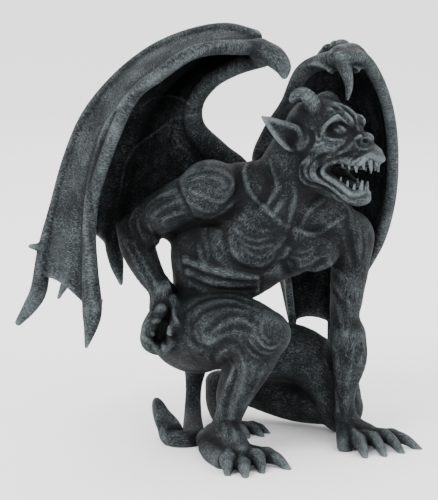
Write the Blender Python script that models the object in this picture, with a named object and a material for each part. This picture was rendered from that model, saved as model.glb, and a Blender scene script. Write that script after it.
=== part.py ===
"""Crouching winged gargoyle, cast in one piece.

The pose and the proportions are shares of the figure's height: every place and radius is
counted in units of which WING_TOP fill the height. X runs to the figure's left hand, Y runs
away from the side it shows, Z is up.
"""
import math

import bmesh
import bpy
from mathutils import Matrix, Vector

# Driving dimensions, in metres
HEIGHT = 0.25          # floor to the highest bend of the wings
WING_WALL = 0.0042     # thickness of the wing skin
SOLE_CUT = 0.0016      # how much is ground off the soles, so that the figure stands flat

# Form of the finished body. The cell of the skin that joins the muscles is fine enough
# for the figure and for the walls of its wings.
CELLS_IN_HEIGHT = 190
CELLS_IN_WALL = 3.2
SKIN_CELL = min(HEIGHT / CELLS_IN_HEIGHT, WING_WALL / CELLS_IN_WALL)
SKIN_SMOOTHING = 4     # passes that melt the muscles into each other
FACE_LIMIT = 9500      # triangles of the finished solid

WING_TOP = 97          # the wings' highest bend, in figure units
UNIT = HEIGHT / WING_TOP
STONE_COLOUR = (0.045, 0.053, 0.056, 1)
STONE_ROUGHNESS = 0.62

# The head looks this far round from the front, towards the figure's left, and dips to that side
HEAD_TURN = math.radians(60)
HEAD_DIP = 0.16        # fall for each unit to the head's left
SKULL = Vector((22, 9, 74))
EAR_WALL = 0.0030      # thickness of the ears' leaf
EAR_STEPS = 10         # places along an ear
FIST_STEP = 2.15       # from one curled finger to the next
RIBS = 3               # rib edges that show under the near side of the chest
RIB_DROP = 2.6         # from one rib edge to the next

forms = []


def clear_scene():
    for item in list(bpy.data.objects):
        bpy.data.objects.remove(item)


def curve_through(points, steps):
    """Smooth run of steps + 1 places and radii through the given points."""
    points = [Vector(p) for p in points]
    run = [2 * points[0] - points[1]] + points + [2 * points[-1] - points[-2]]
    spans = len(points) - 1
    result = []
    for step in range(steps + 1):
        place = min(step / steps * spans, spans - 1e-9)
        span = int(place)
        t = place - span
        a, b, c, d = run[span:span + 4]
        result.append(0.5 * (2 * b + (c - a) * t + (2 * a - 5 * b + 4 * c - d) * t ** 2
                             + (3 * b - a - 3 * c + d) * t ** 3))
    return result


def limb(*joints):
    """Round tapered form through joints given as x, y, z and radius."""
    curve = bpy.data.curves.new("limb", "CURVE")
    curve.dimensions = "3D"
    curve.bevel_depth = UNIT
    curve.bevel_resolution = 3
    curve.use_fill_caps = True
    run = curve_through([Vector(j) for j in joints], 6 * (len(joints) - 1))
    spline = curve.splines.new("POLY")
    spline.points.add(len(run) - 1)
    for point, place in zip(spline.points, run):
        point.co = (place[0] * UNIT, place[1] * UNIT, place[2] * UNIT, 1)
        point.radius = max(place[3], 0.15)
    form = bpy.data.objects.new("limb", curve)
    bpy.context.collection.objects.link(form)
    forms.append(form)
    for x, y, z, radius in (joints[0], joints[-1]):
        if radius > 0.8:
            ball((x, y, z), (radius, radius, radius))


def ball(centre, radii, turn=None):
    """Stretched sphere; turn is a rotation matrix for its own axes."""
    mesh = bpy.data.meshes.new("ball")
    sphere = bmesh.new()
    bmesh.ops.create_icosphere(sphere, subdivisions=3, radius=1)
    shape = Matrix.Diagonal(Vector(radii) * UNIT)
    matrix = (turn or Matrix.Identity(3)) @ shape
    bmesh.ops.transform(sphere, matrix=Matrix.Translation(Vector(centre) * UNIT) @ matrix.to_4x4(),
                        verts=sphere.verts)
    sphere.to_mesh(mesh)
    sphere.free()
    form = bpy.data.objects.new("ball", mesh)
    bpy.context.collection.objects.link(form)
    forms.append(form)


def muscle(start, end, width, depth, outward):
    """Spindle between two places, its flat side turned outward."""
    start, end = Vector(start), Vector(end)
    along = (end - start).normalized()
    across = along.cross(Vector(outward)).normalized()
    face = across.cross(along)
    turn = Matrix((across, face, along)).transposed()
    ball((start + end) / 2, (width, depth, (end - start).length / 2), turn)


def sheet(edges, wall):
    """Curved skin through a list of edges with equally many places, thickened to a wall."""
    mesh = bpy.data.meshes.new("sheet")
    grid = bmesh.new()
    rows = [[grid.verts.new(place * UNIT) for place in edge] for edge in edges]
    for upper, lower in zip(rows, rows[1:]):
        for left in range(len(upper) - 1):
            grid.faces.new((upper[left], upper[left + 1], lower[left + 1], lower[left]))
    bmesh.ops.recalc_face_normals(grid, faces=grid.faces)
    grid.to_mesh(mesh)
    grid.free()
    form = bpy.data.objects.new("sheet", mesh)
    bpy.context.collection.objects.link(form)
    solid = form.modifiers.new("wall", "SOLIDIFY")
    solid.thickness = wall
    solid.offset = 0
    forms.append(form)


def torso():
    # Pelvis, belly and rib cage, leaning over the figure's right knee
    limb((-3, 30, 24, 8.6), (-2.8, 27.5, 31, 8.4), (0, 24.5, 39, 9), (6.5, 22.5, 47, 11.6), (11, 21, 55, 9.5))
    ball((9.4, 22, 48), (15.6, 10, 10.4))
    ball((-3.8, 25, 43), (7, 7.5, 12))
    # Chest muscles either side of the breastbone
    muscle((15.4, 12.6, 46.6), (-2, 15, 49.5), 5.4, 3.2, (0.1, -1, 0.1))
    muscle((15.8, 14, 45), (27, 20.5, 46), 4.8, 2.8, (0.5, -1, 0.1))
    # Shoulder blades and the long muscles of the back
    muscle((2, 29, 60), (-3, 31, 44), 7, 5, (0, 1, 0))
    muscle((20, 30, 56), (15, 32, 42), 6, 5, (0, 1, 0))
    limb((13, 28, 60, 4.5), (7, 31, 48, 5), (0, 33, 34, 5), (-4, 34, 24, 5))
    # Collar and the slope from neck to shoulder
    limb((-1, 17, 59.5, 4.8), (8, 18, 59.5, 5.6), (16, 18, 58, 6), (24, 20, 53, 4.8), (29.5, 23, 48, 4.4))
    # Rib edges under the near chest muscle
    for rib in range(RIBS):
        drop = RIB_DROP * rib
        limb((-7 + 0.8 * rib, 18.5, 43 - drop, 1.1), (0, 13.4 + 0.5 * rib, 41.4 - drop, 1.2),
             (8, 12.8 + 0.8 * rib, 40.4 - 0.6 * drop, 1))


def head_place(forward, left, up):
    """Place on the head, measured from the middle of the skull."""
    ahead = Vector((math.sin(HEAD_TURN), -math.cos(HEAD_TURN), 0))
    aside = Vector((math.cos(HEAD_TURN), math.sin(HEAD_TURN), -HEAD_DIP))
    return SKULL + ahead * forward + aside * left + Vector((0, 0, up))


def head_sides(left):
    """A form beside the middle of the head is made on both sides."""
    return (-1, 1) if left else (1,)


def head_limb(*joints):
    for side in head_sides(any(joint[1] for joint in joints)):
        limb(*[(*head_place(joint[0], side * joint[1], joint[2]), joint[3]) for joint in joints])


def head_ball(forward, left, up, radii):
    turn = Matrix.Rotation(HEAD_TURN - math.pi / 2, 3, "Z")
    for side in head_sides(left):
        ball(head_place(forward, side * left, up), radii, turn)


def head():
    # Neck with its two cords
    limb((12, 20, 55, 7.5), (14.5, 17.5, 61, 7), (18, 13, 68, 6.6), (20.5, 10, 72, 6.3))
    limb((15, 12.5, 50, 1.3), (16, 10.4, 56, 1.5), (16.6, 8.4, 61, 1.6), (16.2, 7.5, 65, 1.5))
    limb((16.2, 13, 50, 1.3), (19, 11.6, 56, 1.6), (22, 12, 62, 1.8))
    # Skull, forehead, cheeks, then the muzzle with its lifted nose
    head_ball(-0.6, 0, -0.2, (7.2, 6.3, 6.4))
    head_ball(3.8, 0, 0.6, (4.8, 4.9, 4.1))
    head_ball(3.6, 0, -3.4, (6.6, 5.6, 5))
    head_ball(1.8, 4, -6.6, (3, 1.9, 4.2))
    head_limb((4.4, 0, -3.8, 4.8), (8.2, 0, -4.7, 3.9), (11, 0, -5.4, 2.6), (13.3, 0, -5.9, 1.7))
    head_limb((6.4, 0, 0.4, 1.6), (8.4, 0, -1.5, 1.2), (10.2, 0, -2, 1.4))
    head_ball(10.7, 0, -1.9, (1.5, 1.5, 1.4))
    head_ball(10.5, 1.5, -2.5, (1.4, 1.1, 1.1))
    # Brow and cheekbone
    head_limb((3, 5.2, -1.8, 0.9), (4.9, 4.9, 0.9, 1.2), (6.4, 4.1, 1.9, 1.3), (7.4, 2.8, 1.5, 1.2),
              (8.7, 1.1, -0.4, 1))
    head_limb((1.6, 5, -4.2, 1.3), (4.6, 5, -4.6, 1.6), (7.6, 3.9, -4, 1.1))
    # Upper lip, drawn back to the jaw's hinge; lower jaw with its lip; floor of the mouth and chin
    head_limb((3.2, 4.7, -9.2, 0.9), (4.6, 4.8, -7.8, 1), (7, 4.5, -6.9, 1.1), (9, 4, -7.4, 1.2),
              (10.8, 3.4, -7.2, 1.2), (12.4, 2.3, -6, 1.3), (13.9, 0.6, -6, 1.2))
    head_limb((0.6, 4.6, -8.2, 2.4), (0.7, 4.7, -10, 2.1), (2.6, 4.8, -10.8, 1.7), (4.9, 4.5, -11.8, 1.6),
              (6.8, 3.9, -13.4, 1.5), (8.3, 2.9, -14.8, 1.5), (10, 0.8, -14.9, 1.5))
    head_limb((-1, 0, -10, 4), (3.6, 0, -13, 2.6), (8, 0, -14.8, 1.8))
    head_ball(9, 0, -15.4, (1.8, 1.9, 1.4))
    # Fangs of the upper and the lower jaw
    head_limb((12, 2.2, -6.6, 0.9), (12.2, 2.3, -9, 0.4))
    head_limb((9, 2.1, -14, 0.9), (9.6, 2.2, -11.4, 0.4))
    # Horns, bent back
    head_limb((0.4, 4, 3.2, 1.8), (0.1, 5, 5, 1.7), (-0.9, 5.5, 6.2, 1.5), (-2, 5.7, 6.4, 1.4),
              (-3, 5.8, 6, 1.3), (-3.7, 5.9, 5.3, 1.1))
    # Ears: a leaf between an upper and a lower rim, hollow towards the side
    head_limb((0, 4.4, -3.4, 1.7), (-2, 5, -4.2, 1.4))
    for side in head_sides(True):
        upper, lower = (curve_through([head_place(f, side * left, up) for f, left, up in rim], EAR_STEPS)
                        for rim in (
                            [(-1.9, 5.6, -4.9), (-1.3, 6.1, -3.1), (-1.9, 7, -1.2), (-3.1, 7.9, -0.5),
                             (-5.1, 9.3, 0.1), (-8, 11.6, 0.8)],
                            [(-3, 5.4, -5.4), (-4.2, 6.6, -5.6), (-5.2, 7.9, -4.7), (-6.2, 9.3, -3.1),
                             (-7.1, 10.7, -1.1), (-8, 11.6, 0.8)]))
        hollow = head_place(-0.5, -0.8 * side, 0) - SKULL
        leaf = []
        for share in (0, 0.25, 0.5, 0.75, 1):
            sink = 1.9 * math.sin(math.pi * share)
            leaf.append([high.lerp(low, share) + hollow * sink * (1 - step / EAR_STEPS) ** 0.7
                         for step, (high, low) in enumerate(zip(upper, lower))])
        sheet(leaf, EAR_WALL)
        limb(*[(*upper[step], 0.9 - 0.05 * step) for step in range(0, EAR_STEPS + 1, 2)])


def right_arm():
    # Shoulder, upper arm drawn back, forearm coming forward to a fist on the hip
    ball((-1.8, 15, 59.4), (6.7, 6.4, 6.4))
    limb((-2, 16, 59, 6), (-8, 20, 56, 5), (-14, 25.5, 52, 4.4), (-19, 29.5, 48.5, 3.7))
    muscle((-5, 16, 57.6), (-16, 24, 50), 4.2, 3.8, (0, -1, -0.4))
    limb((-13, 25.5, 50.5, 3), (-9, 27, 47.5, 2.6))
    limb((-15.6, 26, 48.5, 3), (-14.4, 25, 45.8, 2))
    limb((-19.3, 29.5, 48.5, 3.6), (-18.2, 27, 44.4, 3.9), (-15.7, 23.5, 39.6, 3.2), (-12.8, 20.8, 35.6, 2.5))
    ball((-20.3, 31, 48.5), (2.4, 2.4, 2.6))
    limb((-12.6, 20.8, 35.6, 2.5), (-12.6, 19.8, 32.6, 3), (-12.4, 20.4, 29.4, 3))
    for digit in range(4):
        # Fingers side by side into the depth, each curled round to the palm
        away = FIST_STEP * digit
        limb((-12.6, 15 + away, 32.4, 1.5), (-14.6, 14.6 + away, 29.6, 1.6), (-15.9, 14.6 + away, 26.7, 1.6),
             (-15.3, 14.8 + away, 24.4, 1.5), (-12.4, 15 + away, 23.4, 1.5), (-10.8, 15.2 + away, 24.6, 1.4),
             (-10.5, 15.8 + away, 26.8, 1.2))
    ball((-12.7, 19, 28), (2.6, 3, 4))
    limb((-10.2, 18.6, 33.6, 1.7), (-9.2, 15.8, 31.8, 1.5), (-9.6, 13.8, 29.6, 1.4), (-10.6, 13, 27.8, 0.9))


def finger(root, knuckle, tip, thickness):
    """Finger or toe that arches over its knuckle down to a claw on the floor."""
    root, knuckle, tip = Vector(root), Vector(knuckle), Vector(tip)
    last = knuckle.lerp(tip, 0.5) + Vector((0, 0, 0.7))
    limb((*root, thickness * 1.05), (*knuckle, thickness * 1.1), (*last, thickness * 0.82), (*tip, 0.6))


def left_arm():
    # Straight arm down to a hand that leans on the floor with spread fingers
    ball((29.2, 24, 47), (5.2, 5.6, 6.4))
    limb((29.4, 24, 47, 4.9), (29.3, 24.6, 40, 4.3), (28.3, 25, 30, 3.4), (28.7, 25, 24, 3.5))
    muscle((29.4, 22.5, 42), (28.4, 23, 27), 3.4, 3, (0, -1, 0))
    limb((29.2, 25, 24.5, 3.9), (29.5, 25, 19, 3.9), (28.7, 25, 12, 2.4), (28.4, 25, 6, 2.1))
    limb((28.8, 25, 6, 2.1), (30.4, 22.4, 3.4, 2.9), (33.2, 19.6, 3, 2.4))
    limb((28.6, 24, 4.4, 2.2), (28.6, 19, 2.2, 2.3), (28, 13.6, 1.8, 1.8))
    finger((29.8, 19, 2.8), (31, 12.6, 3), (32.2, 7.4, 0.4), 1.55)
    finger((31.4, 19.4, 2.8), (34.2, 13.8, 3.3), (36.6, 8.6, 0.4), 1.45)
    finger((32.6, 19.8, 3), (36.6, 15.4, 3.6), (40.8, 11.4, 0.4), 1.5)
    finger((33.2, 21, 2.8), (38.6, 17.8, 3), (45.3, 14.6, 0.5), 1.45)
    finger((33, 22.6, 2.4), (37.6, 21.4, 2.3), (41.8, 20, 0.4), 1.3)


def right_leg():
    # Raised knee over a flat foot
    ball((-5.4, 30, 22.6), (7.8, 9, 7.8))
    limb((-6.8, 26, 25.2, 8.8), (-2, 18.5, 27.5, 8.8), (4.8, 9.5, 29.5, 7), (9.8, 3.4, 30, 5))
    muscle((-8, 20, 31), (7, 4.6, 33.2), 5.4, 4, (-0.4, -0.4, 1))
    muscle((-7, 22, 21), (8, 8, 26), 4.6, 4.4, (0.3, 0.6, -1))
    ball((11.2, 2, 29.9), (4.2, 4, 4.4))
    limb((10.5, 3.4, 29, 4.5), (7.5, 6.5, 22, 4.2), (4, 9.2, 14.5, 3.4), (1.5, 11.6, 7.5, 2.9))
    muscle((7.6, 9.5, 28), (1, 13.5, 9), 3.8, 3.8, (-0.5, 0.8, 0))
    limb((9.6, 1.4, 27.5, 1.5), (6, 5.2, 18, 1.4), (2.6, 9.4, 8, 1.3))
    limb((-2.4, 15.6, 2.6, 2.7), (0.2, 13, 4.6, 3.1), (3, 7.5, 4.6, 3), (5, 1, 2.8, 2.6))
    limb((-2.6, 12, 1.8, 2), (-1.2, 5.6, 1.9, 2.2), (0.8, -0.2, 1.8, 1.9))
    ball((2, 6.4, 1.9), (4, 7.4, 2.5))
    finger((2.6, 1.4, 2.8), (2, -3, 2.8), (1.9, -7, 0.4), 1.7)
    finger((4.8, 0.8, 2.6), (5.2, -4.4, 2.2), (5.7, -9, 0.5), 1.55)
    finger((6, 2, 3), (8, -1, 3), (9.4, -5, 0.5), 1.75)
    finger((6.4, 4, 3), (10.4, 1.6, 2.8), (15.2, -2, 0.5), 1.65)


def left_leg():
    # Folded under the body, the knee low behind the left hand, the foot drawn forward
    limb((2, 31, 23.6, 7.6), (10, 33, 20, 7), (19, 33.4, 18, 6.4), (25.6, 32, 12.4, 5.8), (28, 31, 6.6, 5))
    ball((28, 30.6, 5.4), (4.4, 4.2, 5))
    limb((26.5, 33, 6, 4.6), (18, 37.6, 6.4, 5.3), (9, 42.6, 7.2, 4.7), (1, 46.5, 8.4, 2.8))
    limb((-0.8, 47, 8.6, 2.4), (-0.6, 42, 4.8, 2.4), (0.8, 36, 2.6, 2.2), (3, 31.6, 2, 1.9))
    finger((3.2, 30.8, 1.4), (5, 27.6, 1.7), (6.6, 24.2, 0.4), 1.3)
    finger((3.6, 32, 1.5), (7.2, 29, 1.8), (10, 26, 0.4), 1.35)
    finger((3.8, 33, 1.5), (7.6, 31, 1.6), (11.4, 28.8, 0.4), 1.3)


def tail():
    # Down from the rump, forward along the floor and up into a spade
    limb((-5, 36, 18, 3.4), (-5.8, 37.5, 10, 2), (-6, 33, 4.4, 2.1), (-5.8, 25, 2.4, 2.4), (-5.6, 19.4, 2, 2.2),
         (-8.6, 17.8, 2, 2.2), (-11.4, 19.6, 2.4, 1.9), (-12.2, 20.6, 4.4, 1.3))
    muscle((-10.6, 20.2, 0.4), (-14.3, 21.8, 10.9), 2, 1.1, (0.2, -1, 0))
    muscle((-8, 19.4, 2), (-13.4, 21.4, 8.4), 1.7, 1, (0.2, -1, 0))


# Wing fingers, from the wrist to the claw tip, with their thickness
RIGHT_WING = {
    "rim": [(8.9, 8, 91.1, 1.7), (-4, 6, 90.6, 1.5), (-12.7, 7, 85.2, 1.4), (-19.3, 9, 79, 1.4),
            (-26.3, 12, 61.5, 1.4), (-28.1, 12, 51.5, 1.5), (-28, 11, 42, 1.8), (-27.6, 10, 34, 2.2),
            (-27.9, 9.6, 30, 1.6), (-28.9, 9, 25.4, 0.4)],
    "outer": [(7.6, 12, 92.9, 1.7), (1.5, 14, 94.5, 1.4), (-6.3, 15, 93.1, 1.4),
              (-14.5, 17, 89.5, 1.3), (-22.4, 19, 83.1, 1.3), (-29.1, 20, 74.7, 1.3),
              (-33.3, 21, 64.8, 1.3), (-36.2, 21, 54.6, 1.3), (-38.6, 20, 45, 1.6),
              (-39.8, 19, 36.5, 1.9), (-41.8, 18.5, 32.5, 1.6), (-44.5, 18, 29, 0.9)],
    "back": [(7, 20, 90.8, 1.6), (0, 24, 92, 1.4), (-8.5, 28, 89.5, 1.4), (-17.5, 32, 83.5, 1.3),
             (-24, 35, 74, 1.2), (-28.5, 36, 63, 1.2), (-31, 36, 51.5, 1.2), (-33.4, 34, 39, 1.6),
             (-36.4, 31, 32, 0.4)],
    "inner": [(7, 22, 88.6, 1.6), (1.5, 28, 89, 1.4), (-5.9, 34, 84, 1.3), (-13, 38, 76.5, 1.2),
              (-18.4, 41, 67, 1.2), (-21.5, 42, 55, 1.3), (-24.3, 40, 45, 1.8), (-23.6, 39, 39, 1.7),
              (-22.5, 38, 34, 0.5)],
    "root": [(9.4, 12, 88.2, 1.8), (3.8, 16, 86.2, 1.9), (-1.6, 21, 82.7, 1.9), (-5.3, 25, 77.3, 2),
             (-5.1, 28, 71.1, 2.3), (0, 28, 65.3, 2.8), (4.4, 28, 60.4, 3.1), (1, 31, 53, 2)],
}
LEFT_WING = {
    "rim": [(26.5, 13, 88.2, 1.5), (31, 15, 88, 1.5), (35, 20, 82.2, 1.4), (37.7, 24, 74.2, 1.3),
            (38.8, 27, 65, 1.3), (38.5, 29, 55, 1.3), (36.1, 30, 45.5, 1.4), (31.4, 30, 36.5, 1.4),
            (27.5, 29, 24, 0.5)],
    "outer": [(26.5, 18, 89.3, 1.5), (30.6, 26, 88.6, 1.4), (35.2, 33, 81.4, 1.3),
              (37.8, 37, 72.8, 1.3), (38.7, 39, 63.5, 1.3), (38.7, 41, 51.5, 1.3), (34.8, 42, 40, 1.3),
              (29.9, 42, 28, 1.3), (28.4, 40, 20, 0.5)],
    "back": [(25.5, 22, 89.9, 1.5), (28.5, 34, 88.4, 1.4), (30.5, 44, 78, 1.3), (31.5, 49, 66, 1.2),
             (31, 52, 51, 1.2), (29, 52, 37, 1.2), (27, 50, 24.5, 1.2), (26, 48, 16, 0.5)],
    "inner": [(24, 24, 89, 1.5), (22.5, 34, 85, 1.4), (21.5, 44, 76, 1.3), (20, 50, 63.5, 1.2),
              (17.6, 53, 51, 1.2), (14.8, 52, 38.5, 1.3), (16.4, 50, 28.5, 1.3), (18, 47, 18.5, 0.5)],
    "root": [(25.5, 18, 88.2, 1.8), (18.8, 25, 84.4, 1.8), (15.5, 30, 76.2, 1.9),
             (11.8, 32, 69.7, 2.1), (10.2, 31, 63, 2.8), (14, 31, 57, 2.4), (15, 33, 50, 2)],
}
# Share of each finger that stands clear of the skin, from the rim to the root
RIGHT_CLAWS = (0.215, 0.215, 0.2, 0.19, 0)
LEFT_CLAWS = (0.13, 0.13, 0.11, 0.05, 0)
WING_STEPS = 22        # places along a wing finger
PANEL_STEPS = 6        # places across the skin between two fingers
SCALLOP = 0.025        # how far the free edge of the skin is cut back between fingers
# Hooked thumbs, from the wrist
RIGHT_HOOK = [(0, 0, -0.6, 2.4), (2.8, -2, -1.9, 2.4), (4.6, -3.4, -3.8, 1.8), (4.9, -4, -5.6, 0.9)]
LEFT_HOOK = [(0.4, 0, -1, 2.2), (1.2, -0.6, -4, 1.5), (1.5, -0.6, -6.4, 1), (1.2, -0.2, -8.8, 0.6)]
# Hood of skin that hangs over the left wing's wrist, its upper and its free edge
HOOD_TOP = [(18.4, 25, 85.4), (22.4, 20, 88.4), (26.4, 15.6, 89.2), (30.4, 15.6, 88.4), (34, 18.6, 84.6)]
HOOD_EDGE = [(18.4, 24.6, 84.6), (22.4, 17.6, 85.4), (27.6, 14, 85.6), (31, 15, 85.6), (34.2, 18.4, 84)]
BILLOW = 0.5           # how far the skin swells out between fingers


def wing(fingers, claws, hook):
    """One wing: five fingers, the skin between them and the hooked claw at the wrist."""
    runs = [curve_through(joints, WING_STEPS) for joints in fingers.values()]
    for joints in fingers.values():
        limb(*joints)
    middle = sum((Vector(run[WING_STEPS // 2][:3]) for run in runs), Vector((0, 0, 0))) / len(runs)
    for number, (one, other) in enumerate(zip(runs, runs[1:])):
        edges = []
        for across in range(PANEL_STEPS + 1):
            share = across / PANEL_STEPS
            bow = math.sin(math.pi * share)
            end = 1 - claws[number] * (1 - share) - claws[number + 1] * share - SCALLOP * bow
            edge = []
            for step in range(WING_STEPS + 1):
                place = end * step
                low = min(int(place), WING_STEPS - 1)
                first = one[low].lerp(one[low + 1], place - low)
                second = other[low].lerp(other[low + 1], place - low)
                spot = Vector(first.lerp(second, share)[:3])
                outward = (spot - middle).normalized()
                edge.append(spot + outward * BILLOW * bow * min(1, 2 * step / WING_STEPS))
            edges.append(edge)
        sheet(edges, WING_WALL)
    wrist = Vector(fingers["rim"][0][:3])
    knuckle = Vector(fingers["root"][0][:3])
    ball((wrist + knuckle) / 2, (2.6, 2.8, 2.6))
    limb(*[(wrist.x + x, wrist.y + y, wrist.z + z, radius) for x, y, z, radius in hook])


def hood():
    # Skin that hangs over the left wing's wrist
    upper, lower = (curve_through(run, PANEL_STEPS * 2) for run in (HOOD_TOP, HOOD_EDGE))
    sheet([[Vector(a).lerp(Vector(b), share) for a, b in zip(upper, lower)] for share in (0, 0.5, 1)], WING_WALL)


def skin(name):
    """Join the forms, melt them into one body, thin its faces and cut its soles flat."""
    shapes = bpy.context.evaluated_depsgraph_get()
    whole = bmesh.new()
    for form in forms:
        mesh = bpy.data.meshes.new_from_object(form.evaluated_get(shapes))
        mesh.transform(form.matrix_world)
        whole.from_mesh(mesh)
    mesh = bpy.data.meshes.new(name)
    whole.to_mesh(mesh)
    whole.free()
    for form in forms:
        bpy.data.objects.remove(form)
    body = bpy.data.objects.new(name, mesh)
    bpy.context.collection.objects.link(body)

    melt = body.modifiers.new("melt", "REMESH")
    melt.mode = "VOXEL"
    melt.voxel_size = SKIN_CELL
    smooth = body.modifiers.new("smooth", "SMOOTH")
    smooth.iterations = SKIN_SMOOTHING
    mesh = bpy.data.meshes.new_from_object(body.evaluated_get(bpy.context.evaluated_depsgraph_get()))
    body.modifiers.clear()
    keep_outer_skin(mesh)
    body.data = mesh

    thin = body.modifiers.new("thin", "DECIMATE")
    thin.ratio = FACE_LIMIT / sum(len(face.vertices) - 2 for face in mesh.polygons)
    thin.use_collapse_triangulate = True
    mesh = bpy.data.meshes.new_from_object(body.evaluated_get(bpy.context.evaluated_depsgraph_get()))
    body.modifiers.clear()
    cut_soles(mesh)
    stand_over_origin(mesh)
    body.data = mesh
    return body


def keep_outer_skin(mesh):
    """Drop every loose island but the largest, so no hollow stays sealed inside."""
    shape = bmesh.new()
    shape.from_mesh(mesh)
    left = set(shape.verts)
    islands = []
    while left:
        island = []
        queue = [left.pop()]
        while queue:
            vert = queue.pop()
            island.append(vert)
            for edge in vert.link_edges:
                other = edge.other_vert(vert)
                if other in left:
                    left.remove(other)
                    queue.append(other)
        islands.append(island)
    islands.sort(key=len)
    for island in islands[:-1]:
        bmesh.ops.delete(shape, geom=island, context="VERTS")
    shape.to_mesh(mesh)
    shape.free()


def cut_soles(mesh):
    """Grind the soles off level and close them with flat faces."""
    shape = bmesh.new()
    shape.from_mesh(mesh)
    everything = list(shape.verts) + list(shape.edges) + list(shape.faces)
    cut = bmesh.ops.bisect_plane(shape, geom=everything, plane_co=(0, 0, SOLE_CUT), plane_no=(0, 0, 1),
                                 clear_inner=True)
    rims = [item for item in cut["geom_cut"] if isinstance(item, bmesh.types.BMEdge)]
    bmesh.ops.edgeloop_fill(shape, edges=rims)
    bmesh.ops.recalc_face_normals(shape, faces=shape.faces)
    bmesh.ops.triangulate(shape, faces=shape.faces)
    shape.to_mesh(mesh)
    shape.free()


def stand_over_origin(mesh):
    """Put the origin on the floor, under the middle of the figure's box."""
    for axis in (0, 1):
        places = [vert.co[axis] for vert in mesh.vertices]
        middle = (min(places) + max(places)) / 2
        for vert in mesh.vertices:
            vert.co[axis] -= middle
    for vert in mesh.vertices:
        vert.co.z = 0 if abs(vert.co.z - SOLE_CUT) < 1e-6 else vert.co.z - SOLE_CUT


def stone():
    material = bpy.data.materials.new("cast_stone")
    material.use_nodes = True
    shader = material.node_tree.nodes["Principled BSDF"]
    shader.inputs["Base Color"].default_value = STONE_COLOUR
    shader.inputs["Roughness"].default_value = STONE_ROUGHNESS
    shader.inputs["Metallic"].default_value = 0
    return material


clear_scene()
torso()
head()
right_arm()
left_arm()
right_leg()
left_leg()
tail()
wing(RIGHT_WING, RIGHT_CLAWS, RIGHT_HOOK)
wing(LEFT_WING, LEFT_CLAWS, LEFT_HOOK)
hood()
gargoyle = skin("gargoyle")
gargoyle.data.materials.clear()
gargoyle.data.materials.append(stone())
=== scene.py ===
"""Looks of the crouching gargoyle, one casting in dark resin, dry-brushed like weathered stone."""
import math

import bpy
import numpy as np
import openvdb
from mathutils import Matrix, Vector


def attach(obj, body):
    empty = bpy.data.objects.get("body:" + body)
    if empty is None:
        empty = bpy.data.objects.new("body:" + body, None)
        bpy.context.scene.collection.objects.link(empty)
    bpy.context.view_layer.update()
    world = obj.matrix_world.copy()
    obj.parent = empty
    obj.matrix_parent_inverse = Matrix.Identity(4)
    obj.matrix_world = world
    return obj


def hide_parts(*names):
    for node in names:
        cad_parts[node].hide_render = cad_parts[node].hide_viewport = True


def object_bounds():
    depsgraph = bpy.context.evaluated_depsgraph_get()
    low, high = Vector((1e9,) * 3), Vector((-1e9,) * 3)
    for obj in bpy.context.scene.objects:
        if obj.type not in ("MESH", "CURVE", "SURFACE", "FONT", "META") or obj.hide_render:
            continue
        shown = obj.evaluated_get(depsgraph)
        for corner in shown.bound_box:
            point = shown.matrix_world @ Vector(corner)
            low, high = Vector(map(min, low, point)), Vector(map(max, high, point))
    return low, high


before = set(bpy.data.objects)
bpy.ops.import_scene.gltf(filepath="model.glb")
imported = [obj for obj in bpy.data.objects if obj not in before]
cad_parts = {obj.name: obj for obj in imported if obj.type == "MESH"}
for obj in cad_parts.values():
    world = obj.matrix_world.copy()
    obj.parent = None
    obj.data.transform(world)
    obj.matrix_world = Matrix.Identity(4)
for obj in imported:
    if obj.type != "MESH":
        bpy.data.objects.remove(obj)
bounds_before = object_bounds()

# The gargoyle is modelled like clay. Every muscle, fold and claw is melted into one grid of
# distances to the surface, below 0 inside, in figure units of which 97 fill the height.
# Raised and cut lines on the side that the photo shows are traced through its pixels.
UNIT = 0.25 / 97
FIGURE_SPOT = np.array((-0.0000976, -0.0578634, -0.0016))
FLOOR = 0.0016 / UNIT
CELL = 0.25
CLAY_LOW = np.array((-47.5, -13.0, -2.0))
CLAY_HIGH = np.array((47.0, 61.0, 99.5))
FAR = 6.0
cell_counts = np.ceil((CLAY_HIGH - CLAY_LOW) / CELL).astype(int) + 1
clay = np.full(cell_counts, FAR, np.float32)
grain_runs = []

# The photo's camera: its pixels' middle, the focal length in pixels and where it stands
PHOTO_MIDDLE = (219, 250)
PHOTO_FOCUS = 2250
CAMERA_TILT = math.radians(10)
CAMERA_REACH = 500
SIGHT_MIDDLE = np.array((0, 20, 44.9))
SIGHT = np.array((0, math.cos(CAMERA_TILT), -math.sin(CAMERA_TILT)))
SIGHT_UP = np.array((0, math.sin(CAMERA_TILT), math.cos(CAMERA_TILT)))
SIGHT_RIGHT = np.array((1.0, 0, 0))
EYE = SIGHT_MIDDLE - CAMERA_REACH * SIGHT


def window(low, high):
    """Part of the clay between two corners, with its open grids of coordinates."""
    start = np.clip(np.floor((np.asarray(low) - CLAY_LOW) / CELL), 0, cell_counts - 1).astype(int)
    stop = np.clip(np.ceil((np.asarray(high) - CLAY_LOW) / CELL) + 1, start + 1, cell_counts).astype(int)
    axes = [(CLAY_LOW[i] + CELL * np.arange(start[i], stop[i])).astype(np.float32) for i in range(3)]
    return tuple(slice(a, b) for a, b in zip(start, stop)), np.ix_(*axes)


def smooth_run(points, steps):
    """Smooth run of steps + 1 rows through the given rows."""
    points = np.array(points, float)
    run = np.vstack((2 * points[0] - points[1], points, 2 * points[-1] - points[-2]))
    place = np.minimum(np.linspace(0, len(points) - 1, steps + 1), len(points) - 1 - 1e-9)
    span = place.astype(int)
    t = (place - span)[:, None]
    a, b, c, d = (run[span + i] for i in range(4))
    return 0.5 * (2 * b + (c - a) * t + (2 * a - 5 * b + 4 * c - d) * t ** 2
                  + (3 * b - a - 3 * c + d) * t ** 3)


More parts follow.
